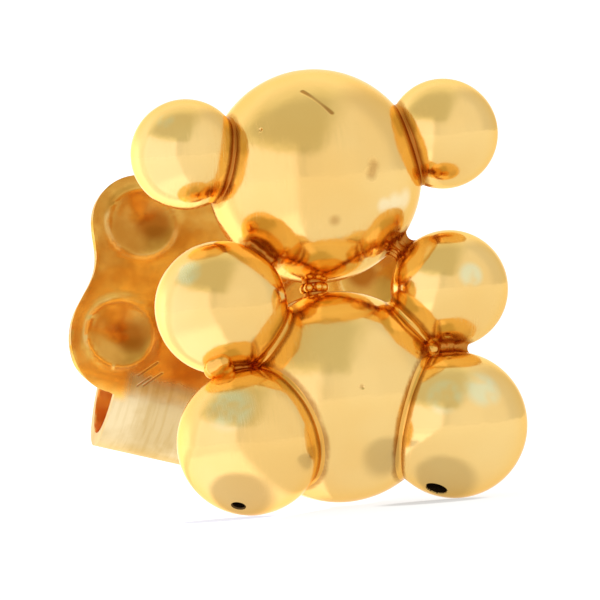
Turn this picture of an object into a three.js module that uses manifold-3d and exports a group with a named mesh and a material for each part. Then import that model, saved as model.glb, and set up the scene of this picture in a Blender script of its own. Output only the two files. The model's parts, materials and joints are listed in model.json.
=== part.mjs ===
// A gold stud earring: eight plain polished balls soldered into a small ball bear with no face,
// a straight post on the back of the head ball, and a butterfly clutch that grips the post.
//
// Frame: millimetres, +Z up. The figure looks along -Y, with +X on the viewer's right. The earring lies as
// it does by itself: leaning back on its two leg balls and on one corner of the clutch.

import * as THREE from 'three';
import { mergeVertices } from 'three/addons/utils/BufferGeometryUtils.js';
import Module from 'manifold-3d';

const wasm = await Module();
wasm.setup();

// ---------------------------------------------------------------- driving dimensions

// The balls, as figure coordinates from the centre of the body ball, with the number of facets round each.
const BALLS = [
  { name: 'body', x: 0, y: 0, z: 0, radius: 2.36, facets: 32 },
  { name: 'head', x: 0, y: -0.2, z: 4.98, radius: 2.4, facets: 32 },
  { name: 'left_ear', x: -2.95, y: -0.62, z: 5.64, radius: 1.235, facets: 20 },
  { name: 'right_ear', x: 2.95, y: -0.62, z: 5.64, radius: 1.235, facets: 20 },
  { name: 'left_arm', x: -2.61, y: -0.9, z: 2.08, radius: 1.485, facets: 24 },
  { name: 'right_arm', x: 2.61, y: -0.9, z: 2.08, radius: 1.315, facets: 24 },
  { name: 'left_leg', x: -2.33, y: -1.0, z: -1.0, radius: 1.635, facets: 28 },
  { name: 'right_leg', x: 2.33, y: -1.0, z: -1.0, radius: 1.635, facets: 28 },
];

// The short tube between the body and the head, with a collar at its middle. It stands a little to one side.
const NECK = { x: -0.28, radius: 0.3, collarRadius: 0.42, collarHeight: 0.09, sink: 0.35, facets: 20 };

// The bead of solder that bridges each arm ball to the leg ball below it.
const SOLDER = { radius: 0.38, facets: 12 };

// The vent hole in the bottom of each leg ball. It leans left and forward by these amounts for each 1 down.
const VENT = { radius: 0.25, depth: 0.9, left: 0.36, forward: 0.33, facets: 16 };

// The post, which leaves the back of the head ball. The nick is the groove near its tip.
const POST = { radius: 0.45, height: 3.67, tip: 11.5, tipBevel: 0.12, facets: 20 };
const NICK = { radius: 0.36, width: 0.3, fromTip: 1.1 };

// The clutch: a stamped plate with four lobes, and two tongues rolled back into scrolls beside the post.
const CLUTCH = {
  front: 8.4,          // from the middle of the body ball back to the plate's front face
  sheet: 0.3,          // thickness of the metal
  turn: 17.5,          // degrees that the clutch is turned on the post, clockwise as seen from the front
  lobeX: 2.75,
  lobeRadius: 1.14,    // across the plate
  lobeFacets: 20,
  // The middles of the upper and of the lower lobes, and their reach up or down from there.
  lobes: [{ z: 1.27, reach: 1.1 }, { z: -1.4, reach: 1.38 }],
  waistX: 3.6,         // half the plate's width between an upper and a lower lobe
  dishRadius: 0.8,
  dishDepth: 0.1,
  dishSteps: 4,        // from the middle of a dish to its rim
  dishFacets: 16,
  tongueWidth: 5.2,
  scrollRadius: 1.5,
  scrollTurn: 235,     // degrees that each tongue is rolled through before its straight lip
  scrollSteps: 15,
};
const CLEARANCE = 0.3;   // between the post and the clutch
const LEAN_PASSES = 6;   // enough for the resting lean to settle

const deg = THREE.MathUtils.degToRad;

// ---------------------------------------------------------------- solids

/** A closed three.js geometry as a manifold solid. */
function solidOf(geometry) {
  geometry.deleteAttribute('normal');
  geometry.deleteAttribute('uv');
  const merged = mergeVertices(geometry, 1e-5);
  return new wasm.Manifold(new wasm.Mesh({
    numProp: 3,
    vertProperties: new Float32Array(merged.attributes.position.array),
    triVerts: new Uint32Array(merged.index.array),
  }));
}

/** A manifold solid as a three.js geometry. */
function geometryOf(solid) {
  const mesh = solid.getMesh();
  const geometry = new THREE.BufferGeometry();
  geometry.setAttribute('position', new THREE.BufferAttribute(mesh.vertProperties, mesh.numProp));
  geometry.setIndex(new THREE.BufferAttribute(mesh.triVerts, 1));
  geometry.computeVertexNormals();
  return geometry;
}

/** A ball, with the poles of its facets on the Y axis. */
function ball({ x, y, z, radius, facets }) {
  return solidOf(new THREE.SphereGeometry(radius, facets, facets / 2).translate(x, y, z));
}

/** A round bar between two points. */
function bar(from, to, radius, facets) {
  const length = from.distanceTo(to);
  const geometry = new THREE.CylinderGeometry(radius, radius, length, facets);
  const turn = new THREE.Quaternion().setFromUnitVectors(
    new THREE.Vector3(0, 1, 0), to.clone().sub(from).normalize());
  const middle = from.clone().add(to).multiplyScalar(0.5);
  return solidOf(geometry.applyQuaternion(turn).translate(middle.x, middle.y, middle.z));
}

const centre = (name) => {
  const found = BALLS.find((item) => item.name === name);
  return new THREE.Vector3(found.x, found.y, found.z);
};
const radiusOf = (name) => BALLS.find((item) => item.name === name).radius;

// ---------------------------------------------------------------- the soldered front

/** The neck: a tube whose ends are sunk in the two large balls, with a collar round its middle. */
function neck() {
  const body = centre('body');
  const up = centre('head').sub(body).normalize();
  const foot = body.clone().setX(NECK.x);
  const along = (distance) => foot.clone().addScaledVector(up, distance);
  const bodyTop = radiusOf('body');
  const headBottom = centre('head').distanceTo(body) - radiusOf('head');
  const middle = (bodyTop + headBottom) / 2;
  const tube = bar(along(bodyTop - NECK.sink), along(headBottom + NECK.sink), NECK.radius, NECK.facets);
  const half = NECK.collarHeight / 2;
  return tube.add(bar(along(middle - half), along(middle + half), NECK.collarRadius, NECK.facets));
}

/** Solder at the nearest point between the arm ball and the leg ball of one side. */
function solder(side) {
  const leg = centre(`${side}_leg`);
  const up = centre(`${side}_arm`).sub(leg).normalize();
  const spot = leg.addScaledVector(up, radiusOf(`${side}_leg`));
  return ball({ x: spot.x, y: spot.y, z: spot.z, radius: SOLDER.radius, facets: SOLDER.facets });
}

/** The blind hole drilled up into the bottom of one leg ball. */
function vent(side) {
  const leg = centre(`${side}_leg`);
  const radius = radiusOf(`${side}_leg`);
  const down = new THREE.Vector3(-VENT.left, -VENT.forward, -1).normalize();
  const inner = leg.clone().addScaledVector(down, radius - VENT.depth);
  const outer = leg.clone().addScaledVector(down, radius + VENT.radius);
  return bar(inner, outer, VENT.radius, VENT.facets);
}

/** The post along +Y: a turned profile, sunk in the head ball, with a grip groove and a bevelled tip. */
function post() {
  const nickMiddle = POST.tip - NICK.fromTip;
  const profile = [
    [0, centre('head').y],
    [POST.radius, centre('head').y],
    [POST.radius, nickMiddle - NICK.width],
    [NICK.radius, nickMiddle - NICK.width / 2],
    [NICK.radius, nickMiddle + NICK.width / 2],
    [POST.radius, nickMiddle + NICK.width],
    [POST.radius, POST.tip - POST.tipBevel],
    [POST.radius - POST.tipBevel, POST.tip],
    [0, POST.tip],
  ].map(([radius, y]) => new THREE.Vector2(radius, y));
  return solidOf(new THREE.LatheGeometry(profile, POST.facets).translate(0, 0, POST.height));
}

function solderedFront() {
  const pieces = [...BALLS.map(ball), neck(), solder('left'), solder('right'), post()];
  const joined = pieces.reduce((whole, piece) => whole.add(piece));
  return geometryOf(joined.subtract(vent('left')).subtract(vent('right')));
}

// ---------------------------------------------------------------- the clutch
// In its own coordinates, the post's axis is Y, the plate's front face is y = 0 and the scrolls are behind.

const scrollX = CLUTCH.tongueWidth / 2;
const scrollZ = POST.radius + CLEARANCE + CLUTCH.scrollRadius;

/** A flat outline in X and Z, given thickness along Y from y = 0. */
function stamped(outline, depth) {
  const geometry = new THREE.ExtrudeGeometry(outline, {
    depth, bevelEnabled: false, curveSegments: CLUTCH.lobeFacets / 2 });
  return solidOf(geometry.rotateX(Math.PI / 2).translate(0, depth, 0));
}

function rectangle(halfWidth, halfHeight) {
  return new THREE.Shape([[-1, -1], [1, -1], [1, 1], [-1, 1]].map(
    ([x, z]) => new THREE.Vector2(x * halfWidth, z * halfHeight)));
}

/** The middles of the four lobes, left and right of the post. */
const lobeMiddles = CLUTCH.lobes.flatMap(
  ({ z, reach }) => [-1, 1].map((sign) => ({ x: sign * CLUTCH.lobeX, z, reach })));

/** The plate: a strip as wide as the tongues, a wider waist, and four lobes, the lower two longer. */
function plate() {
  const waistZ = Math.min(...CLUTCH.lobes.map(({ z }) => Math.abs(z)));
  let whole = stamped(rectangle(scrollX, scrollZ), CLUTCH.sheet)
    .add(stamped(rectangle(CLUTCH.waistX, waistZ), CLUTCH.sheet));
  for (const { x, z, reach } of lobeMiddles) {
    const lobe = new THREE.Shape().absellipse(x, z, CLUTCH.lobeRadius, reach, 0, 2 * Math.PI);
    whole = whole.add(stamped(lobe, CLUTCH.sheet));
  }
  return whole;
}

/** A shallow round dish in the front of one lobe, as the cap of a large ball. */
function dish({ x, z }) {
  const radius = (CLUTCH.dishRadius ** 2 + CLUTCH.dishDepth ** 2) / (2 * CLUTCH.dishDepth);
  const profile = [];
  const half = Math.asin(CLUTCH.dishRadius / radius);
  for (let step = 0; step <= CLUTCH.dishSteps; step += 1) {
    const angle = (half * step) / CLUTCH.dishSteps;
    const height = CLUTCH.dishDepth - radius + radius * Math.cos(angle);
    profile.push(new THREE.Vector2(radius * Math.sin(angle), height));
  }
  profile.push(new THREE.Vector2(CLUTCH.dishRadius, -CLUTCH.sheet), new THREE.Vector2(0, -CLUTCH.sheet));
  profile.reverse();
  const geometry = new THREE.LatheGeometry(profile, CLUTCH.dishFacets);
  return solidOf(geometry.translate(x, 0, z));
}

/** One tongue, rolled from the plate's edge outwards and back, ending in a straight lip beside the post. */
function scroll(sign) {
  const outer = CLUTCH.scrollRadius;
  const inner = outer - CLUTCH.sheet;
  const turn = deg(CLUTCH.scrollTurn);
  const onCircle = (radius, angle) => new THREE.Vector2(
    sign * (scrollZ + radius * Math.sin(angle)), outer - radius * Math.cos(angle));
  const lipWay = new THREE.Vector2(sign * Math.cos(turn), Math.sin(turn));
  const lipLength = (scrollZ + outer * Math.sin(turn) - POST.radius - CLEARANCE) / -Math.cos(turn);
  const lipEnd = (radius) => onCircle(radius, turn).addScaledVector(lipWay, lipLength);
  const arc = (radius) => Array.from(
    { length: CLUTCH.scrollSteps + 1 }, (_, step) => onCircle(radius, (turn * step) / CLUTCH.scrollSteps));
  const points = [...arc(outer), lipEnd(outer), lipEnd(inner), ...arc(inner).reverse()];
  // The outline lies in Z and Y, and is given the tongue's width along X.
  const geometry = new THREE.ExtrudeGeometry(new THREE.Shape(points), {
    depth: CLUTCH.tongueWidth, bevelEnabled: false });
  geometry.translate(0, 0, -scrollX);
  geometry.applyMatrix4(new THREE.Matrix4().set(
    0, 0, 1, 0,
    0, 1, 0, 0,
    -1, 0, 0, 0,
    0, 0, 0, 1));
  return solidOf(geometry);
}

function butterflyClutch() {
  let whole = plate().add(scroll(-1)).add(scroll(1));
  for (const lobe of lobeMiddles) whole = whole.subtract(dish(lobe));
  const reach = new THREE.Vector3(0, CLUTCH.scrollRadius * 2, 0);
  const bore = bar(reach.clone().negate(), reach, POST.radius + CLEARANCE, POST.facets);
  return geometryOf(whole.subtract(bore));
}

// ---------------------------------------------------------------- how the earring lies

/**
 * The lean, in radians, that sets the leg balls and the lowest corner of the clutch on one level. A leg
 * ball's bottom is at y·sin + z·cos - radius, and so is the bottom of the scroll's end, whose rim is
 * foreshortened by the clutch's turn. Setting them equal gives A·sin(lean) = B·cos(lean) + C.
 */
function restingLean() {
  const leg = centre('left_leg');
  const turn = deg(CLUTCH.turn);
  const rimY = CLUTCH.front + CLUTCH.scrollRadius;
  const rimZ = POST.height - scrollX * Math.sin(turn) - scrollZ * Math.cos(turn);
  let rimDrop = CLUTCH.scrollRadius;
  let lean = 0;
  for (let pass = 0; pass < LEAN_PASSES; pass += 1) {
    const A = rimY - leg.y;
    const B = rimZ - leg.z;
    const C = radiusOf('left_leg') - rimDrop;
    lean = Math.atan2(B, A) + Math.asin(C / Math.hypot(A, B));
    rimDrop = CLUTCH.scrollRadius * Math.hypot(Math.sin(lean), Math.cos(lean) * Math.cos(turn));
  }
  return lean;
}

const gold = (color, roughness) => new THREE.MeshStandardMaterial({ color, roughness, metalness: 1 });

const front = new THREE.Mesh(solderedFront(), gold(0xe3b458, 0.12));
front.name = 'soldered_ball_front';

const clutch = new THREE.Mesh(butterflyClutch(), gold(0xd9ab57, 0.25));
clutch.name = 'butterfly_clutch';
clutch.position.set(0, CLUTCH.front, POST.height);
clutch.rotation.y = deg(CLUTCH.turn);

const figure = new THREE.Group();
figure.add(front, clutch);
figure.rotation.x = -restingLean();

const earring = new THREE.Group();
earring.add(figure);
const box = new THREE.Box3().setFromObject(earring, true);
const middle = box.getCenter(new THREE.Vector3());
figure.position.set(-middle.x, -middle.y, -box.min.z);

export default earring;
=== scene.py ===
# %% [markdown]
# # A gold ball stud earring
# The real earring is eight thin polished balls, soldered together into a small bear with no face, a post
# soldered to the back of the head ball, and a stamped butterfly clutch that grips the post. Everything here
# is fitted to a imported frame, which holds the true sizes, the mount on the post's tip and the clutch's slide.

# %% Load the frame
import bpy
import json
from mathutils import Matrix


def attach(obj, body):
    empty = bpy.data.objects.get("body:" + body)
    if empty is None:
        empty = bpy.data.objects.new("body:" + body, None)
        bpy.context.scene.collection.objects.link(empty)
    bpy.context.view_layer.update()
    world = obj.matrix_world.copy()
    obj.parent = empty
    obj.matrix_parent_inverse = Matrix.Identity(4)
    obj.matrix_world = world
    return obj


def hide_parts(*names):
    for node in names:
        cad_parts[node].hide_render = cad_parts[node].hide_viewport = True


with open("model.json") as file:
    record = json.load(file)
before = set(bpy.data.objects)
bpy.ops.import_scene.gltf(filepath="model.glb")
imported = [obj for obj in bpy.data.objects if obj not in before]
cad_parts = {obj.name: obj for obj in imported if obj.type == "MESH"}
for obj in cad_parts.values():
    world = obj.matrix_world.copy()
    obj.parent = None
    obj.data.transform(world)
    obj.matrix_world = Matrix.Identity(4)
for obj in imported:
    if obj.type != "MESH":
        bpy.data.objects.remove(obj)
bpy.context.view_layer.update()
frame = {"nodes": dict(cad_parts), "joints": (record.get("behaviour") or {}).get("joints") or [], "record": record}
print("nodes:", ", ".join(sorted(frame["nodes"])))

# %% Libraries
import json
import math

import bmesh
import bpy
import numpy as np
from mathutils import Matrix, Vector
from mathutils.bvhtree import BVHTree
from mathutils.interpolate import poly_3d_calc

# %% [markdown]
# ## The figure's own axes
# The earring lies leaning back, so it is easier to model in axes of its own: X across the figure, Y back
# along the post and Z up its body, in millimetres, from the middle of the body ball. The frame tells where
# those axes are: the clutch slides along Y, and the tip of the post is a known point on them.

# %% From figure millimetres to the frame
MM = 0.001
POST_TIP = 11.5                       # Y of the post's end
POST_HEIGHT = 3.67                    # Z of the post's axis

slide = next(joint for joint in frame["joints"] if joint["name"] == "clutch_slide")
tip = next(mount for mount in frame["record"]["mounts"] if mount["name"] == "post_tip")
ACROSS = Vector((1, 0, 0))
BACK = Vector(slide["axis"]).normalized()
UP = ACROSS.cross(BACK)
AXES = Matrix((ACROSS, BACK, UP)).transposed()
middle = Vector(tip["pos_m"]) / MM - BACK * POST_TIP - UP * POST_HEIGHT
FIGURE = Matrix.Scale(MM, 4) @ Matrix.Translation(middle) @ AXES.to_4x4()
print("the figure leans back", round(math.degrees(math.atan2(-BACK.z, BACK.y)), 2), "degrees")

# %% The balls and the post, in figure millimetres
BALLS = {                             # name: (x, y, z, radius)
    "body": (0, 0, 0, 2.36),
    "head": (0, -0.2, 4.98, 2.4),
    "left ear": (-2.95, -0.62, 5.64, 1.235),
    "right ear": (2.95, -0.62, 5.64, 1.235),
    "left arm": (-2.61, -0.9, 2.08, 1.485),
    "right arm": (2.61, -0.9, 2.08, 1.315),
    "left leg": (-2.33, -1.0, -1.0, 1.635),
    "right leg": (2.33, -1.0, -1.0, 1.635),
}
POST_RADIUS = 0.45


def centre(name):
    return Vector(BALLS[name][:3])


def radius(name):
    return BALLS[name][3]


# %% A new object
def linked(name, data):
    """An object with its data, linked into the scene."""
    made = bpy.data.objects.new(name, data)
    bpy.context.scene.collection.objects.link(made)
    return made


# %% [markdown]
# ## The camera
# The earring is looked at from a little to its left and from a little below the way its front faces, which
# is still above the surface that it lies on. The camera is tipped about its own axis, so that the figure
# leans to the left in the picture. A very long lens keeps the clutch, far behind the balls, from looking
# small.

# %% Camera
TO_LEFT, BELOW, TIPPED = (math.radians(angle) for angle in (12.4, 8.9, 6.7))
LENS, SENSOR = 800, 36
FRAME_WIDTH = 0.0134                  # how much of the scene the picture spans at the figure
AIM_HEIGHT, AIM_ASIDE = 2.2, 0.0006   # the picture's middle: figure millimetres up, and metres to the left
NEAR_CLIP, FAR_CLIP = 0.001, 10

TO_CAMERA = AXES @ Vector((-math.sin(TO_LEFT) * math.cos(BELOW),
                           -math.cos(TO_LEFT) * math.cos(BELOW),
                           -math.sin(BELOW)))
level = UP.cross(TO_CAMERA).normalized()
upright = TO_CAMERA.cross(level)
PICTURE_RIGHT = level * math.cos(TIPPED) - upright * math.sin(TIPPED)
PICTURE_UP = upright * math.cos(TIPPED) + level * math.sin(TIPPED)
LOOK = Matrix((PICTURE_RIGHT, PICTURE_UP, TO_CAMERA)).transposed()
AIM = FIGURE @ Vector((0, 0, AIM_HEIGHT)) - PICTURE_RIGHT * AIM_ASIDE

camera = linked("camera", bpy.data.cameras.new("camera"))
bpy.context.scene.camera = camera
camera.data.lens, camera.data.sensor_width = LENS, SENSOR
camera.data.clip_start, camera.data.clip_end = NEAR_CLIP, FAR_CLIP
camera.matrix_world = Matrix.Translation(AIM + TO_CAMERA * FRAME_WIDTH * LENS / SENSOR) @ LOOK.to_4x4()
print("camera", round(math.degrees(math.asin(TO_CAMERA.z)), 2), "degrees above level, at",
      [round(value, 4) for value in camera.matrix_world.translation])


# %% A point on a ball as the camera sees it
def facing(name, right, up):
    """In figure millimetres: the point of a ball's skin that is right and up of its middle, in ball radii."""
    way = LOOK @ Vector((right, up, math.sqrt(1 - right * right - up * up)))
    return centre(name) + AXES.transposed() @ way * radius(name)


# %% [markdown]
# ## Arithmetic on sockets
# Both materials and geometry trees are written as expressions. One small class wraps a node's output, so
# that `1 - mask * 0.5` adds the Math nodes that work it out. Its `node` method adds any other kind of node:
# first its settings, then the values or links of its inputs.

# %% The Sock class
class Sock:
    """The output of a node in a tree, with arithmetic. Sock(tree) alone is a place to start from."""

    def __init__(self, tree, socket=None):
        self.tree, self.socket = tree, socket

    def node(self, kind, settings=None, inputs=None, output=0):
        """Adds a node: its settings are set first, then its inputs, by name or number."""
        made = self.tree.nodes.new(kind)
        for key, value in (settings or {}).items():
            setattr(made, key, value)
        for key, value in (inputs or {}).items():
            if isinstance(value, Sock):
                self.tree.links.new(value.socket, made.inputs[key])
            else:
                made.inputs[key].default_value = value
        return Sock(self.tree, made.outputs[output] if made.outputs else None)

    def math(self, operation, *values):
        return self.node("ShaderNodeMath", {"operation": operation},
                         dict(enumerate((self, *values))))

    def __add__(self, other):
        return self.math("ADD", other)

    __radd__ = __add__

    def __mul__(self, other):
        return self.math("MULTIPLY", other)

    __rmul__ = __mul__

    def __sub__(self, other):
        return self.math("SUBTRACT", other)

    def __rsub__(self, other):
        return (self * -1) + other

    def __truediv__(self, other):
        return self.math("DIVIDE", other)

    def step(self, low, high):
        """0 below low, 1 above high, and smooth between. high may be the smaller."""
        return self.node("ShaderNodeMapRange", {"interpolation_type": "SMOOTHSTEP"},
                         {"Value": self, "From Min": low, "From Max": high})

    def xyz(self):
        split = self.node("ShaderNodeSeparateXYZ", inputs={0: self}).socket.node
        return tuple(Sock(self.tree, out) for out in split.outputs)

    def vector(self, operation, *values, output=0):
        return self.node("ShaderNodeVectorMath", {"operation": operation},
                         dict(enumerate((self, *values))), output)


# %% Colour mixing
COLOUR_A, COLOUR_B, COLOUR_RESULT = 6, 7, 2     # the Mix node's colour sockets


def mixed(start, factor, a, b):
    """Colour a where factor is 0 and colour b where it is 1."""
    return start.node("ShaderNodeMix", {"data_type": "RGBA"},
                      {0: factor, COLOUR_A: a, COLOUR_B: b}, COLOUR_RESULT)


def emptied(owner):
    """A place to start from in the emptied node tree of a material or a world."""
    owner.use_nodes = True
    owner.node_tree.nodes.clear()
    return Sock(owner.node_tree)


# %% [markdown]
# ## Polished gold
# High polish on thin yellow gold is never perfect. The wall of a pressed ball is slightly wavy, so
# reflections wobble. Handling leaves hair scratches and a few small dents, and the soldered joints keep a
# warmer, duller tint that the wheel could not reach. The rest is painted light: pale greenish patches are
# painted reflections, one long pale patch on the head is a painted highlight, and a dark slash on the head is
# a painted dark reflection with a shallow groove along it. The waves, scratches and dents are bump, because
# they are at most a few hundredths of a millimetre deep, and the tint reads a `seam` attribute: millimetres
# to the nearest joint.

# %% Colours and marks
GOLD_PALE = (0.93, 0.65, 0.25, 1)
GOLD_DEEP = (0.9, 0.58, 0.19, 1)
EDGE_TINT = (1.0, 0.8, 0.5, 1)        # what the metal reflects where it turns away
# the joints' tarnish and the dents' darker colour, and also the colour of the dark slash, a painted dark
# reflection
TARNISH_AND_DARK_REFLECTION = (0.4, 0.16, 0.025, 1)
# painted reflection: the colour of the pale greenish patches that stand in for reflections
PAINTED_REFLECTION_TINT = (0.76, 0.78, 0.49, 1)
# painted highlight: the colour of the long pale patch on the head
PAINTED_HIGHLIGHT_PALE = (1.0, 0.92, 0.66, 1)
# painted reflection: the plate's deep orange stands in for the balls' gold backs mirrored in it
PLATE_REFLECTION_PALE = (0.8, 0.45, 0.09, 1)
PLATE_REFLECTION_DEEP = (0.58, 0.25, 0.033, 1)
# painted shade in the dishes, and also the colour of the tool's marks
DISH_SHADE_AND_MARK_TINT = (0.42, 0.13, 0.012, 1)
DENTS = (                             # ball, right and up of its middle in ball radii, size in millimetres
    ("head", 0.55, 0.1, 0.22),
    ("head", 0.53, 0.02, 0.2),
    ("head", 0.19, -0.42, 0.2),
    ("head", -0.5, 0.42, 0.07),
    ("right arm", -0.04, -0.79, 0.12),
    ("body", 0.22, 0.1, 0.08),
)
# where the painted reflections lie: ball, right and up of its middle in ball radii, size in millimetres
PAINTED_REFLECTIONS = (
    ("left leg", -0.27, 0.48, 0.66),
    ("right leg", -0.14, 0.4, 0.5),
    ("right leg", 0.38, 0.5, 0.55),
    ("right arm", 0.36, 0.24, 0.36),
    ("left arm", -0.5, 0.52, 0.42),
    ("left ear", -0.36, 0.6, 0.26),
)
PAINTED_HIGHLIGHTS = (                            # small overlapping spots that make one long patch of painted highlight
    ("head", 0.64, -0.27, 0.24),
    ("head", 0.74, -0.25, 0.33),
    ("head", 0.84, -0.22, 0.36),
)
WALL_WAVES, FINE_WAVES = 0.036, 0.01    # heights in millimetres, as the next three are
SCRATCH_DEPTH, SLASH_DEPTH, DENT_DEPTH = 0.0006, 0.01, 0.03
STAIN_FROM, STAIN_TO = 0.12, 0.03       # millimetres from a joint where its tint starts, and where it is full


def in_frame(point):
    """A figure point in the frame's millimetres."""
    return (FIGURE @ point) / MM


# from, to and width of a dark slash on the head: a painted dark reflection, with a shallow groove along it
PAINTED_SLASH = (in_frame(facing("head", -0.11, 0.78)), in_frame(facing("head", 0.16, 0.58)), 0.075)
# the patches counted here are painted reflections
print(len(DENTS), "dents,", len(PAINTED_REFLECTIONS), "patches of film and a slash of",
      round((PAINTED_SLASH[1] - PAINTED_SLASH[0]).length, 2), "mm")


# %% The material's parts
def millimetres(start):
    """The shaded point in the frame's millimetres."""
    place = start.node("ShaderNodeTexCoord", output="Object")
    return place.vector("MULTIPLY", (1 / MM,) * 3)


def noise(point, scale, detail=2.0, stretch=(1, 1, 1), turn=(0, 0, 0)):
    """Noise from 0 to 1 whose features are about 1 / scale millimetres, stretched and turned."""
    mapped = point.node("ShaderNodeMapping", {"vector_type": "POINT"},
                        {"Vector": point, "Rotation": turn, "Scale": stretch})
    return mapped.node("ShaderNodeTexNoise", inputs={"Vector": mapped, "Scale": scale, "Detail": detail})


def hair_scratches(point):
    """Thin lines in three directions, 1 on a scratch and 0 between."""
    total = 0.0
    for number, turn in enumerate(((0.3, 0.5, 0.2), (1.4, 0.2, 0.9), (0.7, 1.3, 2.1))):
        lines = noise(point, 1.0, 1.0, (26.0, 0.55, 0.55), turn)
        patches = noise(point, 0.45 + 0.1 * number, 1.0, turn=turn)
        total = (lines - 0.5).math("ABSOLUTE").step(0.012, 0.0) * patches.step(0.52, 0.66) + total
    return total.math("MINIMUM", 1.0)


def spots(point, places, edge):
    """Round spots, 1 in their middles and 0 outside. edge is the part of the radius that stays at 1."""
    total = 0.0
    for name, right, up, size in places:
        gap = point.vector("DISTANCE", tuple(in_frame(facing(name, right, up))), output="Value")
        total = (gap / size).step(1.0, edge) + total
    return total.math("MINIMUM", 1.0)


def slash(point, begin, end, width):
    """One straight scratch between two points, 1 along its middle."""
    way = end - begin
    offset = point.vector("SUBTRACT", tuple(begin))
    along = offset.vector("DOT_PRODUCT", tuple(way / way.length_squared), output="Value")
    along = along.math("MAXIMUM", 0.0).math("MINIMUM", 1.0)
    nearest = along.node("ShaderNodeVectorMath", {"operation": "SCALE"}, {0: tuple(way), "Scale": along})
    gap = offset.vector("DISTANCE", nearest, output="Value")
    return gap.step(width, width * 0.3)


# %% The gold of the balls, the post and the solder
def gold(name, polish, pale=GOLD_PALE, deep=GOLD_DEEP, marks_and_painted_light=False):
    """A gold: polish is its roughness. The last switch adds the balls' dents and the tint by the joints, and also
    painted light: pale patches of painted reflection, a painted highlight and a dark slash that is a painted dark
    reflection.
    """
    material = bpy.data.materials.new(name)
    start = emptied(material)
    point = millimetres(start)

    cloud = noise(point, 0.32, 3.0).step(0.3, 0.7)
    smudge = noise(point, 0.9, 4.0).step(0.48, 0.75)
    scratches = hair_scratches(point)
    colour = mixed(start, cloud, deep, pale)
    roughness = smudge * 0.07 + scratches * 0.12 + polish
    height = noise(point, 0.7, 1.0) * WALL_WAVES + noise(point, 1.9, 2.0) * FINE_WAVES
    height = height - scratches * SCRATCH_DEPTH
    if marks_and_painted_light:
        seam = start.node("ShaderNodeAttribute", {"attribute_name": "seam"}, output="Fac")
        stain = (seam + noise(point, 3.0) * 0.07).step(STAIN_FROM, STAIN_TO)
        # painted reflections: pale greenish patches, which are also a little rougher
        painted_reflection = spots(point, PAINTED_REFLECTIONS, 0.45) * noise(point, 1.6, 2.0).step(0.3, 0.55)
        hollows = spots(point, DENTS, 0.1)
        # the dark slash: a painted dark reflection, with a shallow groove
        dark_slash = slash(point, *PAINTED_SLASH)
        dark = (stain * 0.75 + hollows * 0.45 + dark_slash * 0.8).math("MINIMUM", 1.0)
        colour = mixed(start, painted_reflection * 0.7, colour, PAINTED_REFLECTION_TINT)
        # a painted highlight: the long pale patch on the head
        colour = mixed(start, spots(point, PAINTED_HIGHLIGHTS, 0.2) * 0.5, colour, PAINTED_HIGHLIGHT_PALE)
        colour = mixed(start, dark, colour, TARNISH_AND_DARK_REFLECTION)
        roughness = stain * 0.12 + painted_reflection * 0.1 + roughness
        height = height - hollows * DENT_DEPTH - dark_slash * SLASH_DEPTH
    return metal(material, start, colour, roughness, height)


def metal(material, start, colour, roughness, height):
    """Ends a material as bare metal. The height is in millimetres."""
    bump = start.node("ShaderNodeBump", inputs={"Strength": 1.0, "Distance": MM, "Height": height})
    shader = start.node("ShaderNodeBsdfPrincipled", inputs={
        "Base Color": colour, "Metallic": 1.0, "Roughness": roughness, "Specular Tint": EDGE_TINT,
        "Normal": bump})
    start.node("ShaderNodeOutputMaterial", inputs={"Surface": shader})
    return material


POLISHED = gold("polished gold", 0.13, marks_and_painted_light=True)
SOLDER = gold("solder", 0.14, pale=(0.9, 0.52, 0.13, 1), deep=(0.72, 0.34, 0.06, 1))
BURNT = gold("burnt solder", 0.22, pale=(0.6, 0.24, 0.04, 1), deep=(0.4, 0.12, 0.016, 1))
WIRE = gold("drawn gold", 0.09)
OXIDE = gold("fired oxide", 0.45, pale=(0.16, 0.09, 0.03, 1), deep=(0.08, 0.045, 0.018, 1))

# %% [markdown]
# ## Stamped gold
# The clutch is another alloy, struck between dies and not polished by hand. Its plate is painted a deep
# orange, a painted reflection of the balls' gold backs; the bottoms of its dishes are painted darker still,
# with a darker core to one side, which is painted shade; and a pale line round each dish is a painted
# highlight. The inside of the scrolls is painted a deeper orange, a painted reflection of the gold round it in
# shade. The tongues are a paler gold, with fine lines along the strip left by the rolling tool, which also
# left a few dark marks that share the dishes' colour. The `sheet` attribute holds each point's place on the
# flat strip, across and along it, so that the pattern follows the metal round the scrolls.

# %% The gold of the clutch
LOBE_X = 2.75                         # across the strip, to the middle of a lobe
LOBES = ((1.27, 1.1), (-1.4, 1.38))   # along it: the middles of the upper and lower lobes, and their reach
TONGUE_X = 2.6                        # half the width of a tongue
TONGUE_PALE = (0.6, 0.48, 0.28, 1)
TONGUE_DEEP = (0.45, 0.32, 0.14, 1)
# painted reflection: the inside of the scrolls, deeper orange for the gold it mirrors in shade
INSIDE_REFLECTION_PALE = (0.95, 0.62, 0.25, 1)
INSIDE_REFLECTION_DEEP = (0.92, 0.42, 0.09, 1)
MARKS = (                             # from, to and width of the tool's marks, on the flat strip
    (Vector((-2.16, -2.27, 0)), Vector((-1.77, -1.86, 0)), 0.035),
    (Vector((-2.13, -2.5, 0)), Vector((-1.86, -2.22, 0)), 0.03),
    (Vector((-1.99, -2.46, 0)), Vector((-1.62, -2.08, 0)), 0.035),
)


def from_lobe(across, along):
    """How far a point of the flat strip is from the middle of the nearest lobe."""
    (upper, _), (lower, _) = LOBES
    lobe_z = along.math("GREATER_THAN", 0.0) * (upper - lower) + lower
    aside, above = across.math("ABSOLUTE") - LOBE_X, along - lobe_z
    return (aside * aside + above * above).math("SQRT")


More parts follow.
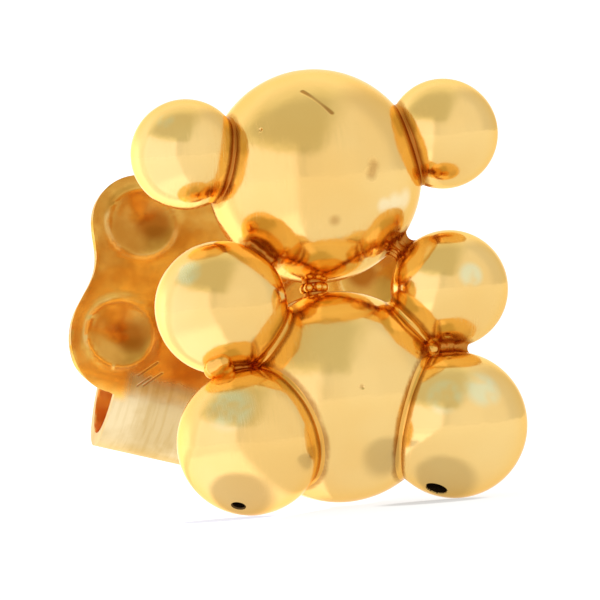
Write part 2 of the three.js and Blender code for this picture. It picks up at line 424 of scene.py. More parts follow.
def stamped_gold(name, inner=False):
    """The clutch's gold. inner is the side that the scrolls hide, which is painted redder, a painted reflection of
    the gold round it in shade, and has no marks.
    """
    material = bpy.data.materials.new(name)
    start = emptied(material)
    point = millimetres(start)
    sheet = start.node("ShaderNodeAttribute", {"attribute_name": "sheet"}, output="Vector")
    across, along, _ = sheet.xyz()
    wide, far = across.math("ABSOLUTE"), along.math("ABSOLUTE")

    cloud = noise(point, 0.9, 4.0).step(0.35, 0.65)
    lines = noise(sheet, 1.0, 2.0, (9.0, 0.7, 1.0), (0, 0, -0.5))
    roughness = lines * 0.15 + 0.24
    height = noise(point, 1.1, 2.0) * 0.03
    if inner:
        colour = mixed(start, cloud, INSIDE_REFLECTION_DEEP, INSIDE_REFLECTION_PALE)
    else:
        worn = cloud * 0.75 + lines.step(0.36, 0.56) * 0.25
        colour = mixed(start, worn, TONGUE_DEEP, TONGUE_PALE)
        strip = (far + noise(point, 1.5) * 0.3).step(2.6, 2.3)
        rim = wide.step(TONGUE_X - 0.4, TONGUE_X - 0.1) * far.step(3.0, 2.75)
        plate = strip.math("MAXIMUM", rim)
        gap = from_lobe(across, along)
        # painted shade: darker towards the bottom of each dish, and darkest in a core to one side
        dish = (gap + noise(point, 2.2, 3.0) * 0.2).step(0.92, 0.72)
        middle = (from_lobe(wide + 0.27, along) + noise(point, 1.7, 2.0) * 0.2).step(0.62, 0.3)
        # a painted highlight on a line round each dish
        rim_highlight = (gap - 0.82).math("ABSOLUTE").step(0.09, 0.02) * noise(point, 1.3).step(0.4, 0.55)
        marks = slash(sheet, *MARKS[0])
        for mark in MARKS[1:]:
            marks = slash(sheet, *mark).math("MAXIMUM", marks)
        # the plate is painted deep orange: a painted reflection of the balls' backs
        colour = mixed(start, plate, colour, mixed(start, cloud, PLATE_REFLECTION_DEEP, PLATE_REFLECTION_PALE))
        # the painted highlight round the dishes
        colour = mixed(start, rim_highlight * 0.5, colour, GOLD_PALE)
        # painted shade in the dishes, together with the tool's real marks
        tint = (dish * 0.3 + middle * 0.7).math("MAXIMUM", marks * 0.7)
        colour = mixed(start, tint, colour, DISH_SHADE_AND_MARK_TINT)
        roughness = roughness - (lines * 0.15 + 0.02) * plate
        height = height + (1 - plate) * lines * 0.005 - marks * 0.01
    return metal(material, start, colour, roughness, height)


STAMPED = stamped_gold("stamped gold")
INSIDE = stamped_gold("inside of the strip", inner=True)
print("materials:", ", ".join(material.name for material in bpy.data.materials))

# %% [markdown]
# ## From a tree to a plain mesh
# A geometry tree starts as an ordinary mesh, such as eight points, and takes its sizes from named inputs. The
# evaluated result is copied to a plain mesh, so that nothing live is left on the piece.

# %% Trees
def mesh_from(name, points, faces=()):
    mesh = bpy.data.meshes.new(name)
    mesh.from_pydata([tuple(point) for point in points], [], faces)
    return mesh


def geometry_tree(name, sizes):
    """A new tree and the Socks of its inputs: its geometry, and one number for each name in sizes."""
    tree = bpy.data.node_groups.new(name, "GeometryNodeTree")
    for side in ("INPUT", "OUTPUT"):
        tree.interface.new_socket("Geometry", in_out=side, socket_type="NodeSocketGeometry")
    for label in sizes:
        tree.interface.new_socket(label, in_out="INPUT", socket_type="NodeSocketFloat")
    entry = tree.nodes.new("NodeGroupInput")
    return tree, {out.name: Sock(tree, out) for out in entry.outputs if out.name}


def finish_tree(geometry, material):
    """Ends a tree with real meshes and a material."""
    real = geometry.node("GeometryNodeRealizeInstances", inputs={"Geometry": geometry})
    dressed = real.node("GeometryNodeSetMaterial", inputs={"Geometry": real, "Material": material})
    dressed.node("NodeGroupOutput", inputs={"Geometry": dressed})


# %% Modifiers
def held(mesh):
    """An object that holds a mesh while modifiers work on it."""
    return linked(mesh.name, mesh)


def settled(holder):
    """The mesh of an object with its modifiers applied. The object is removed."""
    evaluated = holder.evaluated_get(bpy.context.evaluated_depsgraph_get())
    mesh = bpy.data.meshes.new_from_object(evaluated)
    bpy.data.objects.remove(holder)
    return mesh


def grown(tree, seed, sizes):
    """The plain mesh that a tree grows from a seed mesh."""
    holder = held(seed)
    modifier = holder.modifiers.new("grow", "NODES")
    modifier.node_group = tree
    for item in tree.interface.items_tree:
        if item.in_out == "INPUT" and item.name in sizes:
            modifier[item.identifier] = float(sizes[item.name])
    return settled(holder)


def cut(mesh, *cutters):
    """A mesh with closed cutters taken away from it."""
    holder = held(mesh)
    tools = [held(cutter) for cutter in cutters]
    for tool in tools:
        modifier = holder.modifiers.new("cut", "BOOLEAN")
        modifier.operation, modifier.solver, modifier.object = "DIFFERENCE", "EXACT", tool
    result = settled(holder)
    for tool in tools:
        bpy.data.objects.remove(tool)
    return result


# %% Turned and joined meshes
def turned(name, profile, base, way, segments=48):
    """A solid turned about an axis that starts at base and points along way. The profile is (radius, height)
    pairs that start and end on the axis."""
    points, faces, rings = [], [], []
    for r, height in profile:
        rings.append(len(points))
        for k in range(segments if r > 0 else 1):
            angle = math.tau * k / segments
            points.append((r * math.cos(angle), r * math.sin(angle), height))
    for (r0, _), (r1, _), low, high in zip(profile, profile[1:], rings, rings[1:]):
        for k in range(segments):
            n = (k + 1) % segments
            if r0 == 0:
                faces.append((low, high + n, high + k))
            elif r1 == 0:
                faces.append((low + k, low + n, high))
            else:
                faces.append((low + k, low + n, high + n, high + k))
    mesh = mesh_from(name, points, faces)
    mesh.transform(Matrix.Translation(base) @ Vector(way).to_track_quat("Z", "Y").to_matrix().to_4x4())
    return facing_out(mesh)


def facing_out(mesh):
    """Closed shells with every face pointing outwards."""
    work = bmesh.new()
    work.from_mesh(mesh)
    bmesh.ops.recalc_face_normals(work, faces=work.faces)
    work.to_mesh(mesh)
    work.free()
    return mesh


def ways_round(way, count):
    """Unit vectors square to way, evenly round it."""
    side = way.orthogonal().normalized()
    other = way.cross(side)
    angles = [math.tau * k / count for k in range(count)]
    return [side * math.cos(angle) + other * math.sin(angle) for angle in angles]


def joined(name, meshes):
    """Several meshes as one, each keeping its own closed shells."""
    points, faces = [], []
    for mesh in meshes:
        start = len(points)
        points += [tuple(vertex.co) for vertex in mesh.vertices]
        faces += [[start + index for index in face.vertices] for face in mesh.polygons]
    return mesh_from(name, points, faces)


# %% Placing a finished piece
def placed(name, mesh, body, material=None, place=FIGURE, sharp=35):
    """A finished piece: its mesh moved into the frame, riding on a body."""
    if material:
        mesh.materials.append(material)
    mesh.transform(place)
    mesh.shade_smooth()
    mesh.set_sharp_from_angle(angle=math.radians(sharp))
    piece = linked(name, mesh)
    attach(piece, body)
    print(name, len(mesh.polygons), "faces")
    return piece


# %% [markdown]
# ## The eight balls
# The rule is simple: a ball on each point, as large as the point says, and all of them made one skin. A tree
# does it: a sphere is instanced on each point, and Mesh Boolean unites the instances, so no wall is left
# inside. The vent in each leg ball, drilled so that the air could leave while it was soldered, is cut from
# that skin.

# %% Balls tree
def balls_tree(material):
    tree, given = geometry_tree("soldered balls", ("Segments", "Rings"))
    start = given["Geometry"]
    sphere = start.node("GeometryNodeMeshUVSphere", inputs={
        "Segments": given["Segments"], "Rings": given["Rings"], "Radius": 1.0}, output="Mesh")
    size = start.node("GeometryNodeInputNamedAttribute", {"data_type": "FLOAT"}, {"Name": "radius"},
                      output="Attribute")
    balls = start.node("GeometryNodeInstanceOnPoints", inputs={
        "Points": start, "Instance": sphere, "Scale": size})
    united = balls.node("GeometryNodeMeshBoolean", {"operation": "UNION", "solver": "EXACT"},
                        {"Mesh 2": balls}, output="Mesh")
    finish_tree(united, material)
    return tree


def ball_points(name, balls):
    """The seed of a balls tree: (place, radius) pairs."""
    mesh = mesh_from(name, [place for place, _ in balls])
    sizes = mesh.attributes.new("radius", "FLOAT", "POINT")
    sizes.data.foreach_set("value", [size for _, size in balls])
    return mesh


# %% The balls' skin
RINGS = 64      # from pole to pole of each ball

seed = ball_points("ball points", [(centre(name), radius(name)) for name in BALLS])
skin = grown(balls_tree(POLISHED), seed, {"Segments": 2 * RINGS, "Rings": RINGS})
print("united balls:", len(skin.polygons), "faces")

# %% Vents
VENTS = (                             # ball, radius of the hole, and the way that it faces
    ("left leg", 0.14, (-0.36, -0.31, -1)),
    ("right leg", 0.24, (-0.45, -0.22, -1)),
)
VENT_DEPTH, VENT_RIM, DRILL_SHANK = 0.9, 0.04, 0.3


def vent(name, hole, way):
    """A drill with a countersink, up into the bottom of a leg ball."""
    way = Vector(way).normalized()
    top = radius(name) - VENT_DEPTH
    rim = hole + VENT_RIM
    profile = [(0, 0), (hole, 0), (hole, VENT_DEPTH - VENT_RIM), (rim, VENT_DEPTH),
               (rim, VENT_DEPTH + DRILL_SHANK), (0, VENT_DEPTH + DRILL_SHANK)]
    return turned("vent drill", profile, centre(name) + way * top, way)


skin = cut(skin, *[vent(*place) for place in VENTS])
print("drilled balls:", len(skin.polygons), "faces")

# %% [markdown]
# ## How far is the nearest joint?
# Solder fills the crease between two balls with a hollow fillet, whose section is an arc that touches both of
# them. Each point of the skin gets its distance to the nearest fillet, which the gold reads to tint itself
# there. The torch burnt some of the joints darker than the others.

# %% Joints and the seam attribute
CLEAN_JOINTS = (                      # two balls and the radius of the solder's hollow between them
    ("body", "left arm", 0.09),
    ("body", "right arm", 0.09),
    ("body", "left leg", 0.1),
    ("body", "right leg", 0.1),
)
BURNT_JOINTS = (
    ("head", "left ear", 0.07),
    ("head", "right ear", 0.07),
    ("head", "left arm", 0.1),
    ("head", "right arm", 0.17),
    ("left leg", "left arm", 0.055),
    ("right leg", "right arm", 0.135),
)
FAR_AWAY = 10.0


def fillet(first, second, hollow):
    """The middle of the arc in a seam's section: how far it is along the joint's axis, and out from it."""
    a, b = radius(first) + hollow, radius(second) + hollow
    apart = (centre(second) - centre(first)).length
    along = (a * a - b * b + apart * apart) / (2 * apart)
    return along, math.sqrt(a * a - along * along)


def seam_distances(mesh):
    """How far each point of the skin is from the nearest fillet."""
    places = np.empty(len(mesh.vertices) * 3)
    mesh.vertices.foreach_get("co", places)
    places = places.reshape(-1, 3)
    nearest = np.full(len(places), FAR_AWAY)
    for first, second, hollow in CLEAN_JOINTS + BURNT_JOINTS:
        arc_along, arc_out = fillet(first, second, hollow)
        way = np.array((centre(second) - centre(first)).normalized())
        offset = places - np.array(centre(first))
        along = offset @ way
        around = np.linalg.norm(offset - np.outer(along, way), axis=1)
        nearest = np.minimum(nearest, np.hypot(along - arc_along, around - arc_out) - hollow)
    return nearest


seam = skin.attributes.new("seam", "FLOAT", "POINT")
seam.data.foreach_set("value", seam_distances(skin).astype(np.float32))
balls = placed("gold_balls", skin, "front", sharp=12)
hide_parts("soldered_ball_front")

# %% [markdown]
# ## True normals
# A mirror finish shows every facet. The union cuts some faces to slivers, whose smoothed normals would make
# kinks in the reflections, so each corner that lies on a ball gets the ball's own normal: straight out from
# its middle.

# %% Ball normals
ON_BALL = 0.01 * MM                   # a face's middle lies this close under the ball's true surface


def round_normals(mesh):
    """Round normals on the balls. Faces on no ball are the drilled ones, which get the second material."""
    middles = np.array([in_frame(centre(name)) * MM for name in BALLS])
    sizes = np.array([radius(name) * MM for name in BALLS])
    corners = []
    for face in mesh.polygons:
        away = np.linalg.norm(middles - np.array(face.center), axis=1) - sizes
        owner = int(np.argmin(np.abs(away)))
        on_ball = abs(away[owner]) < ON_BALL
        face.material_index = 0 if on_ball else 1
        for index in face.vertices:
            way = mesh.vertices[index].co - Vector(middles[owner])
            corners.append(way.normalized() if on_ball else Vector((0, 0, 0)))
    mesh.normals_split_custom_set(corners)


balls.data.materials.append(OXIDE)
round_normals(balls.data)
print("faces inside the vents:", sum(face.material_index for face in balls.data.polygons))

# %% [markdown]
# ## Solder seams
# Solder runs into the crease between two balls and pulls itself into a hollow curve. In section that curve is
# an arc that touches both balls, so its middle is one arc radius further from each ball's middle than the
# skin. The arc is carried round the joint with a slightly changing radius, and closed inside the metal. The
# clean and the burnt seams are one piece each.

# %% One seam
SINK = 0.03                           # how far a seam's edges are let into the balls
SEAM_WALL, SEAM_INNER = 0.12, 0.02    # the metal behind the arc, and the least distance from the joint's axis
TURNS, ARC_STEPS = 96, 8
UNEVEN = ((3, 0.1), (8, 0.06))        # waves in a turn, and how much they change the arc's radius


def seam_section(first, second, hollow):
    """The closed section of a seam: (along the joint's axis from the first ball, out from the axis) pairs."""
    a, b = radius(first), radius(second)
    apart = (centre(second) - centre(first)).length
    along, out = fillet(first, second, hollow)
    begin = math.atan2(-out, -along)
    end = math.atan2(-out, apart - along)
    arc = [(along + hollow * math.cos(angle), out + hollow * math.sin(angle))
           for angle in np.linspace(begin, end, ARC_STEPS + 1)]
    into_first = (a - SINK) / (a + hollow)
    into_second = (b - SINK) / (b + hollow)
    inner = max(out - hollow - SEAM_WALL, SEAM_INNER)
    return arc + [(apart + (along - apart) * into_second, out * into_second), (along, inner),
                  (along * into_first, out * into_first)]


def seam_ring(first, second, hollow, number):
    """One seam, all round its joint. The number sets where its waves begin."""
    way = (centre(second) - centre(first)).normalized()
    points, faces = [], []
    for k, outward in enumerate(ways_round(way, TURNS)):
        angle = math.tau * k / TURNS
        uneven = 1 + sum(share * math.sin(waves * angle + number * (order + 1))
                         for order, (waves, share) in enumerate(UNEVEN))
        section = seam_section(first, second, hollow * uneven)
        points += [centre(first) + way * along + outward * out for along, out in section]
    count = len(section)
    for k in range(TURNS):
        for m in range(count):
            n = (m + 1) % count
            here, there = k * count, (k + 1) % TURNS * count
            faces.append((here + m, here + n, there + n, there + m))
    return facing_out(mesh_from("seam", points, faces))


for name, joints, material in (("solder_seams", CLEAN_JOINTS, SOLDER), ("burnt_seams", BURNT_JOINTS, BURNT)):
    rings = [seam_ring(*joint, number) for number, joint in enumerate(joints)]
    placed(name, joined(name, rings), "front", material, sharp=60)

# %% [markdown]
# ## Drops of solder
# Too much solder went on between the left arm and the leg below it, and stayed there as a lump. One more drop
# fills the corner between the body, the right arm and the leg below it. They are made by the balls' own tree,
# with other points, then softened so that they run into each other.

# %% Drops
DROP_VOXEL, DROP_ROUNDS = 0.03, 30
DROPS = (                             # ball, right and up of its middle in ball radii, radius in millimetres
    ("left arm", 0.02, -0.8, 0.2),
    ("left arm", -0.06, -0.86, 0.27),
    ("left arm", 0.04, -0.9, 0.27),
    ("left arm", -0.12, -0.93, 0.22),
    ("body", 0.89, 0.44, 0.24),
)


def softened(mesh, voxel, rounds):
    """A mesh remade in small cubes, so that its parts fuse, and then smoothed."""
    holder = held(mesh)
    remesh = holder.modifiers.new("fuse", "REMESH")
    remesh.mode, remesh.voxel_size = "VOXEL", voxel
    smooth = holder.modifiers.new("soften", "SMOOTH")
    smooth.iterations = rounds
    return settled(holder)


seed = ball_points("drop points", [(facing(name, right, up), size) for name, right, up, size in DROPS])
drops = grown(balls_tree(SOLDER), seed, {"Segments": 32, "Rings": 16})
placed("solder_drops", softened(drops, DROP_VOXEL, DROP_ROUNDS), "front")

# %% [markdown]
# ## The neck
# The two large balls do not quite touch. A short tube is soldered between them, with a milled collar round
# its middle, which shows as a row of bright beads. It stands a little to one side of the balls' middles.

# %% Neck
NECK_X, NECK_RADIUS, NECK_FLARE, NECK_LIP = -0.28, 0.2, 0.07, 0.03
NECK_SINK = 0.2                       # how far each end is let into its ball
COLLAR_BEADS, COLLAR_RADIUS, COLLAR_BEAD = 6, 0.22, 0.115
neck_way = (centre("head") - centre("body")).normalized()
neck_low = radius("body")
neck_high = (centre("head") - centre("body")).length - radius("head")
neck_foot = centre("body") + Vector((NECK_X, 0, 0))
print("gap between the large balls", round(neck_high - neck_low, 3), "mm")


def neck_tube():
    """A tube that widens where it meets each ball."""
    length = neck_high - neck_low + 2 * NECK_SINK
    wide, near = NECK_RADIUS + NECK_FLARE, NECK_RADIUS + NECK_FLARE / 4
    half = [(0, 0), (wide, 0), (wide, NECK_SINK), (near, NECK_SINK + NECK_LIP)]
    profile = half + [(NECK_RADIUS, length / 2)] + [(r, length - height) for r, height in reversed(half)]
    return turned("neck tube", profile, neck_foot + neck_way * (neck_low - NECK_SINK), neck_way, 40)


def neck_collar():
    """Small beads side by side round the middle of the neck."""
    middle = neck_foot + neck_way * (neck_low + neck_high) / 2
    beads = [(middle + outward * COLLAR_RADIUS, COLLAR_BEAD)
             for outward in ways_round(neck_way, COLLAR_BEADS)]
    return grown(balls_tree(SOLDER), ball_points("collar points", beads), {"Segments": 24, "Rings": 12})


placed("neck_tube", neck_tube(), "front", BURNT, sharp=40)
placed("neck_collar", neck_collar(), "front")

# %% [markdown]
# ## The post
# A round wire of 0.9 mm, which is what a pierced ear takes, soldered into the back of the head ball. The
# groove near its tip is where the clutch clicks home. It is a turned profile with every corner eased.

# %% Post
NICK_RADIUS, NICK_WIDTH, NICK_FROM_TIP, TIP_ROUND = 0.36, 0.3, 1.1, 0.14
POST_FOOT = ((0.66, 1.3), (0.62, 1.62), (0.53, 1.9), (0.475, 2.12), (POST_RADIUS, 2.35))    # its solder


def post_profile():
    """(radius, Y) pairs, from inside the head ball to the tip."""
    nick = POST_TIP - NICK_FROM_TIP
    tip_arc = [(POST_RADIUS - TIP_ROUND * (1 - math.cos(angle)), POST_TIP - TIP_ROUND * (1 - math.sin(angle)))
               for angle in np.linspace(0, math.pi / 2, 6)]
    groove = [(POST_RADIUS - (POST_RADIUS - NICK_RADIUS) * (1 + math.cos(angle)) / 2,
               nick + NICK_WIDTH * angle / math.pi) for angle in np.linspace(-math.pi, math.pi, 13)]
    return [(0, POST_FOOT[0][1]), *POST_FOOT, *groove, *tip_arc, (0, POST_TIP)]


post = turned("post", post_profile(), Vector((0, 0, POST_HEIGHT)), (0, 1, 0))
placed("ear_post", post, "front", WIRE)

# %% [markdown]
# ## The clutch's blank
# A butterfly clutch is stamped from one flat strip: a plate with four round lobes, and a tongue above and
# below it. The blank is made flat first, as the real one is, in rows across the strip. Each row needs only
# its distance from the middle and its half width, so the outline is a short list of curves.

# %% Blank
SHEET = 0.3                           # thickness of the clutch's metal
LOBE_RADIUS = 1.14                    # across the strip
WAIST_X = 3.6                         # half the plate's width between an upper and a lower lobe
CORNER = 0.35                         # rounding of the tongues' ends
SCROLL_RADIUS = 1.5
SCROLL_TURN = math.radians(235)
SCROLL_START = POST_RADIUS + SHEET + SCROLL_RADIUS
LIP_GAP = 0.02                        # from the lip to the post
TO_POST = SCROLL_START + SCROLL_RADIUS * math.sin(SCROLL_TURN) - POST_RADIUS - LIP_GAP
LIP = TO_POST / -math.cos(SCROLL_TURN)
STRIP_END = SCROLL_START + SCROLL_RADIUS * SCROLL_TURN + LIP
COLUMNS = 81                          # points across each row
PLATE_ROWS, LOBE_ROWS, TONGUE_ROWS, CORNER_ROWS = 13, 19, 64, 6
NECK_ROW = 0.03                       # from a lobe's end to the tongue's first row


def blank_rows(lobe_z, reach):
    """(distance from the middle, half width) of each row, from the strip's middle to the tongue's end."""
    dip = LOBE_X + LOBE_RADIUS - WAIST_X
    rows = [(lobe_z * t, LOBE_X + LOBE_RADIUS - dip * (1 + math.cos(math.pi * t)) / 2)
            for t in np.linspace(0, 1, PLATE_ROWS)]
    rows += [(lobe_z + reach * math.sin(angle), LOBE_X + LOBE_RADIUS * math.cos(angle))
             for angle in np.linspace(0, math.pi / 2, LOBE_ROWS)[1:]]
    rows += [(far, TONGUE_X)
             for far in np.linspace(lobe_z + reach + NECK_ROW, STRIP_END - CORNER, TONGUE_ROWS)]
    rows += [(STRIP_END - CORNER * (1 - math.sin(angle)), TONGUE_X - CORNER * (1 - math.cos(angle)))
             for angle in np.linspace(0, math.pi / 2, CORNER_ROWS)[1:]]
    return rows


def clutch_blank():
    """The flat strip, with its own coordinates kept in the `sheet` attribute."""
    upper, lower = (blank_rows(abs(lobe_z), reach) for lobe_z, reach in LOBES)
    rows = [(-far, wide) for far, wide in reversed(lower[1:])] + upper
    points = [(wide * across, far, 0) for far, wide in rows for across in np.linspace(-1, 1, COLUMNS)]
    starts = [row * COLUMNS + k for row in range(len(rows) - 1) for k in range(COLUMNS - 1)]
    faces = [(n, n + 1, n + COLUMNS + 1, n + COLUMNS) for n in starts]
    mesh = mesh_from("clutch blank", points, faces)
    sheet = mesh.attributes.new("sheet", "FLOAT_VECTOR", "POINT")
    sheet.data.foreach_set("vector", np.array(points, dtype=np.float32).ravel())
    return mesh


print("the flat strip is", round(2 * STRIP_END, 2), "mm long")

# %% [markdown]
# ## Rolling it
# The tree moves each point of the blank by its distance along the strip: straight up to the start of the
# scroll, round the scroll's circle, then straight again along the lip that presses on the post. The same tree
# presses a shallow dish with a raised rim into each lobe. Solidify gives the sheet its thickness, the hole
# for the post is cut, and Bevel breaks the edges.

# %% Rolling tree
DISH_RADIUS, DISH_DEPTH, RIM_HEIGHT, RIM_WIDTH = 0.78, 0.14, 0.035, 0.12


def rolling_tree(material):
    tree, given = geometry_tree("roll the clutch", ("Start", "Radius", "Turn", "Dish depth", "Rim height"))
    start = given["Geometry"]
    across, along, _ = start.node("GeometryNodeInputPosition").xyz()
    far = along.math("ABSOLUTE")
    flat = far.math("MINIMUM", given["Start"])
    bend = ((far - given["Start"]) / given["Radius"]).math("MAXIMUM", 0.0).math("MINIMUM", given["Turn"])
    lip = (far - given["Start"] - given["Radius"] * given["Turn"]).math("MAXIMUM", 0.0)
    up = flat + bend.math("SINE") * given["Radius"] + lip * given["Turn"].math("COSINE")
    back = (1 - bend.math("COSINE")) * given["Radius"] + lip * given["Turn"].math("SINE")

    from_dish = from_lobe(across, along)
    inside = from_dish / DISH_RADIUS
    bowl = (1 - inside * inside).math("MAXIMUM", 0.0)
    off_rim = (from_dish - DISH_RADIUS) / RIM_WIDTH
    rim = (1 - off_rim * off_rim).math("MAXIMUM", 0.0)
    pressed = bowl * bowl * given["Dish depth"] - rim * rim * given["Rim height"]

    place = start.node("ShaderNodeCombineXYZ", inputs={0: across, 1: back + pressed,
                                                       2: up * along.math("SIGN")})
    moved = start.node("GeometryNodeSetPosition", inputs={"Geometry": start, "Position": place})
    finish_tree(moved, material)
    return tree


sheet = grown(rolling_tree(STAMPED), clutch_blank(), {
    "Start": SCROLL_START, "Radius": SCROLL_RADIUS, "Turn": SCROLL_TURN,
    "Dish depth": DISH_DEPTH, "Rim height": RIM_HEIGHT})
print("rolled strip:", len(sheet.polygons), "faces")

# %% Thickness, hole and edges
PLATE_FRONT = 8.4                     # Y of the clutch plate's front face
CLUTCH_TURN = math.radians(17.5)      # how far the clutch is turned on the post
BORE_RADIUS, BORE_LENGTH = 0.55, 1.2
EDGE = 0.05                           # width of the broken edges
SHARP_EDGE = math.radians(50)


def thickened(mesh, thickness):
    """The mesh keeps its front and grows backwards. Its new inner side has the second material."""
    holder = held(mesh)
    mesh.materials.append(INSIDE)
    modifier = holder.modifiers.new("thickness", "SOLIDIFY")
    modifier.thickness, modifier.offset, modifier.use_even_offset = thickness, -1, True
    modifier.material_offset = 1
    return settled(holder)


def eased(mesh, width):
    """A mesh with its sharp edges rounded."""
    holder = held(mesh)
    modifier = holder.modifiers.new("edges", "BEVEL")
    modifier.width, modifier.segments = width, 3
    modifier.limit_method, modifier.angle_limit = "ANGLE", SHARP_EDGE
    return settled(holder)


def with_strip_places(mesh, rolled):
    """The cut loses the strip's own coordinates: each point takes those of the strip's nearest point."""
    corners = [face.vertices[:] for face in rolled.polygons]
    tree = BVHTree.FromPolygons([vertex.co for vertex in rolled.vertices], corners)
    flat = [item.vector.copy() for item in rolled.attributes["sheet"].data]
    places = []
    for vertex in mesh.vertices:
        spot, _, index, _ = tree.find_nearest(vertex.co)
        shares = poly_3d_calc([rolled.vertices[corner].co for corner in corners[index]], spot)
        places.extend(sum((flat[corner] * share for corner, share in zip(corners[index], shares)), Vector()))
    mesh.attributes["sheet"].data.foreach_set("vector", places)
    return mesh


bore = turned("bore", [(0, 0), (BORE_RADIUS, 0), (BORE_RADIUS, BORE_LENGTH), (0, BORE_LENGTH)],
              (0, -BORE_LENGTH / 2, 0), (0, 1, 0))
clutch_mesh = with_strip_places(eased(cut(thickened(sheet, SHEET), bore), EDGE), sheet)
clutch_place = (FIGURE @ Matrix.Translation((0, PLATE_FRONT, POST_HEIGHT))
                @ Matrix.Rotation(CLUTCH_TURN, 4, "Y"))
clutch = placed("gold_clutch", clutch_mesh, "clutch", place=clutch_place)
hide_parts("butterfly_clutch")

# %% [markdown]
# ## The studio
# Mirror gold shows what is round it more than it shows itself. A white tent gives it an even light, and is
# duller behind the figure on the right. A tall bright panel stands on the left with a narrow gap beside it, a
# bright window behind it lights the balls' left rims, and a greyer card overhead gives each ball a soft olive
# patch. Directions are angles from the camera, because that is how the patches were placed, but they belong
# to the world and stay where they are when the camera moves.

# %% What stands round the figure, in degrees to the right of the camera and above it
LEFT_PANEL, GAP, RIGHT_PANEL = (-96, -20), (-18, -7), (9, 48)
PANEL_HEIGHT = (-80, 32)
PANEL_EDGE, PANEL_END = 5, 6                        # how soft their sides and their ends are
WINDOW, WINDOW_HEIGHT, WINDOW_EDGE, WINDOW_END = (-172, -114), (-75, 12), 8, 10
CARD_LOW, CARD_EDGE = 25, 5
CARD_SIDES, CARD_SIDE_EDGE = (-2.1, 0.35), 0.25     # to the right, in parts of its height
CARD_FAR, CARD_FAR_EDGE = -0.5, 0.4                 # to the camera, in parts of its height
BEHIND, TO_RIGHT = (0.1, -0.3), (0.15, 0.5)         # parts of a direction's length

# %% How bright they are
TENT, BEHIND_GAIN, BEHIND_LOSS = 0.98, 0.24, 0.4
PANEL_GAIN, GAP_LOSS, RIGHT_GAIN = 0.26, 0.07, 0.03
WINDOW_GAIN, CARD_LOSS = 0.5, 0.28
PANEL_BLUE = 0.12                     # the left panel is a little cooler than the tent
CARD_COLOUR = (1, 1, 0.82, 1)
print("the tent gives", TENT, "and the left panel", round(TENT + PANEL_GAIN, 2))


# %% World
def between(value, low, high, soft):
    """1 from low to high and 0 outside."""
    return value.step(low - soft, low + soft) * value.step(high + soft, high - soft)


def parts_of(way):
    """How much of a direction points to the camera, to the right and up."""
    return [way.vector("DOT_PRODUCT", tuple(part), output="Value")
            for part in (TO_CAMERA, PICTURE_RIGHT, PICTURE_UP)]


def degrees(value):
    return value * (180 / math.pi)


def surroundings(way):
    """How bright the tent is in a direction, and how much of it the left panel covers."""
    toward, side, rise = parts_of(way)
    across, height = degrees(side.math("ARCTAN2", toward)), degrees(rise.math("ARCSINE"))
    tall = between(height, *PANEL_HEIGHT, PANEL_END)
    panel = between(across, *LEFT_PANEL, PANEL_EDGE) * tall
    behind = toward.step(*BEHIND)
    light = TENT + behind * BEHIND_GAIN - behind * side.step(*TO_RIGHT) * BEHIND_LOSS
    light = light + panel * PANEL_GAIN - between(across, *GAP, PANEL_EDGE) * tall * GAP_LOSS
    light = light + between(across, *RIGHT_PANEL, PANEL_EDGE) * tall * RIGHT_GAIN
    window = between(across, *WINDOW, WINDOW_EDGE) * between(height, *WINDOW_HEIGHT, WINDOW_END)
    return light + window * WINDOW_GAIN, panel


def overhead_card(way):
    """A card that hangs above the figure: its near edge at a height, its other edges straight."""
    toward, side, rise = parts_of(way)
    above = rise.math("MAXIMUM", 0.05)
    card = degrees(rise.math("ARCSINE")).step(CARD_LOW - CARD_EDGE, CARD_LOW + CARD_EDGE)
    card = card * between(side / above, *CARD_SIDES, CARD_SIDE_EDGE)
    return card * (toward / above).step(CARD_FAR - CARD_FAR_EDGE, CARD_FAR + CARD_FAR_EDGE)


def studio():
    world = bpy.data.worlds.new("studio")
    bpy.context.scene.world = world
    start = emptied(world)
    way = start.node("ShaderNodeTexCoord", output="Generated").vector("NORMALIZE")
    light, panel = surroundings(way)
    card = overhead_card(way)
    colour = mixed(start, panel, (1, 1, 1, 1), (1, 1, 1 + PANEL_BLUE, 1))
    colour = mixed(start, card, colour, CARD_COLOUR)
    background = start.node("ShaderNodeBackground", inputs={
        "Color": colour, "Strength": light - card * CARD_LOSS})
    start.node("ShaderNodeOutputWorld", inputs={"Surface": background})


studio()
bpy.context.scene.view_settings.view_transform = "Standard"
bpy.context.scene.cycles.glossy_bounces = 6
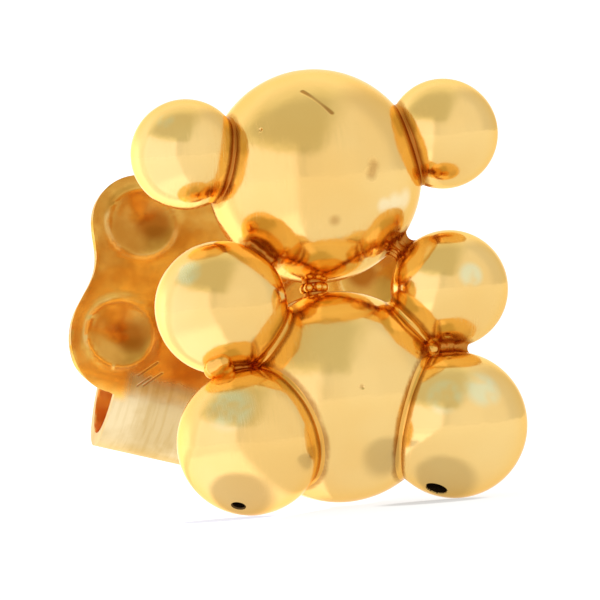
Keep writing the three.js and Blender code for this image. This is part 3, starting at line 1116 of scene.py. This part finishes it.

# %% [markdown]
# ## The floor
# Plain white paper that reflects little and glows: most of its light is painted. The glow follows the tent's
# brightness in each direction from the figure, so that it stays white up to its horizon, where it is as bright
# as the tent behind it, and near the figure it is painted brighter on the left panel's side, as if the panel
# lit it. In front of the foot of each low ball it glows less: painted contact shadows, which give those balls
# the soft olive patch that a contact shadow leaves in them.

# %% Floor
FLOOR_HALF = 3.0                      # half its side, in metres
# painted contact shadows on the floor, where its glow is lower
PAINTED_SHADOW_PATCHES = (                        # ball, half size and loss of light
    ("left leg", 1.2, 0.58),
    ("right leg", 1.15, 0.28),
)
FOOTPRINT_WAY = Vector((-0.85, -1.0, 0))            # from under the ball's middle to the middle of its painted shadow
FOOTPRINT_EDGE = (1.25, 0.75)                       # in parts of its half size
PAPER, PAPER_WHITE = 0.17, 1.01                     # what the paper reflects, and how white it looks in all
NEAR_LIGHT, NEAR_DARK, PAINTED_PANEL_LIGHT = 9, 13.5, 0.22    # millimetres from the figure out to which the floor is painted brighter on the panel's side, and by how much


def painted_contact_shadows(point):
    """Painted contact shadows: the darker places on the floor in front of the low balls, as a loss of its glow."""
    loss = 0.0
    for name, size, most in PAINTED_SHADOW_PATCHES:
        middle = in_frame(centre(name)) + FOOTPRINT_WAY
        gap = point.vector("DISTANCE", (middle.x, middle.y, 0), output="Value")
        loss = ((gap / size).step(*FOOTPRINT_EDGE) * most).math("MAXIMUM", loss)
    return loss


def paper():
    material = bpy.data.materials.new("white paper with painted light")
    start = emptied(material)
    point = millimetres(start)
    from_body = point.vector("SUBTRACT", tuple(in_frame(centre("body"))))
    # painted light: the floor's glow copies the tent's brightness in each direction from the body
    light, panel = surroundings(from_body.vector("NORMALIZE"))
    near = from_body.vector("LENGTH", output="Value").step(NEAR_DARK, NEAR_LIGHT)
    # painted light: brighter on the panel's side near the figure, and less in the painted contact shadows
    glow = light.math("MAXIMUM", PAPER_WHITE) + panel * near * PAINTED_PANEL_LIGHT - PAPER - painted_contact_shadows(point)
    blue = glow * (panel * PANEL_BLUE + 1)
    shader = start.node("ShaderNodeBsdfPrincipled", inputs={
        "Base Color": (PAPER, PAPER, PAPER, 1), "Roughness": 0.9, "Emission Strength": 1.0,
        "Emission Color": glow.node("ShaderNodeCombineXYZ", inputs={0: glow, 1: glow, 2: blue})})
    start.node("ShaderNodeOutputMaterial", inputs={"Surface": shader})
    return material


def floor():
    corners = [(x * FLOOR_HALF, y * FLOOR_HALF, 0) for x, y in ((-1, -1), (1, -1), (1, 1), (-1, 1))]
    mesh = mesh_from("floor", corners, [(0, 1, 2, 3)])
    mesh.materials.append(paper())
    surface = linked("floor", mesh)
    print("floor:", 2 * FLOOR_HALF, "m square")


floor()
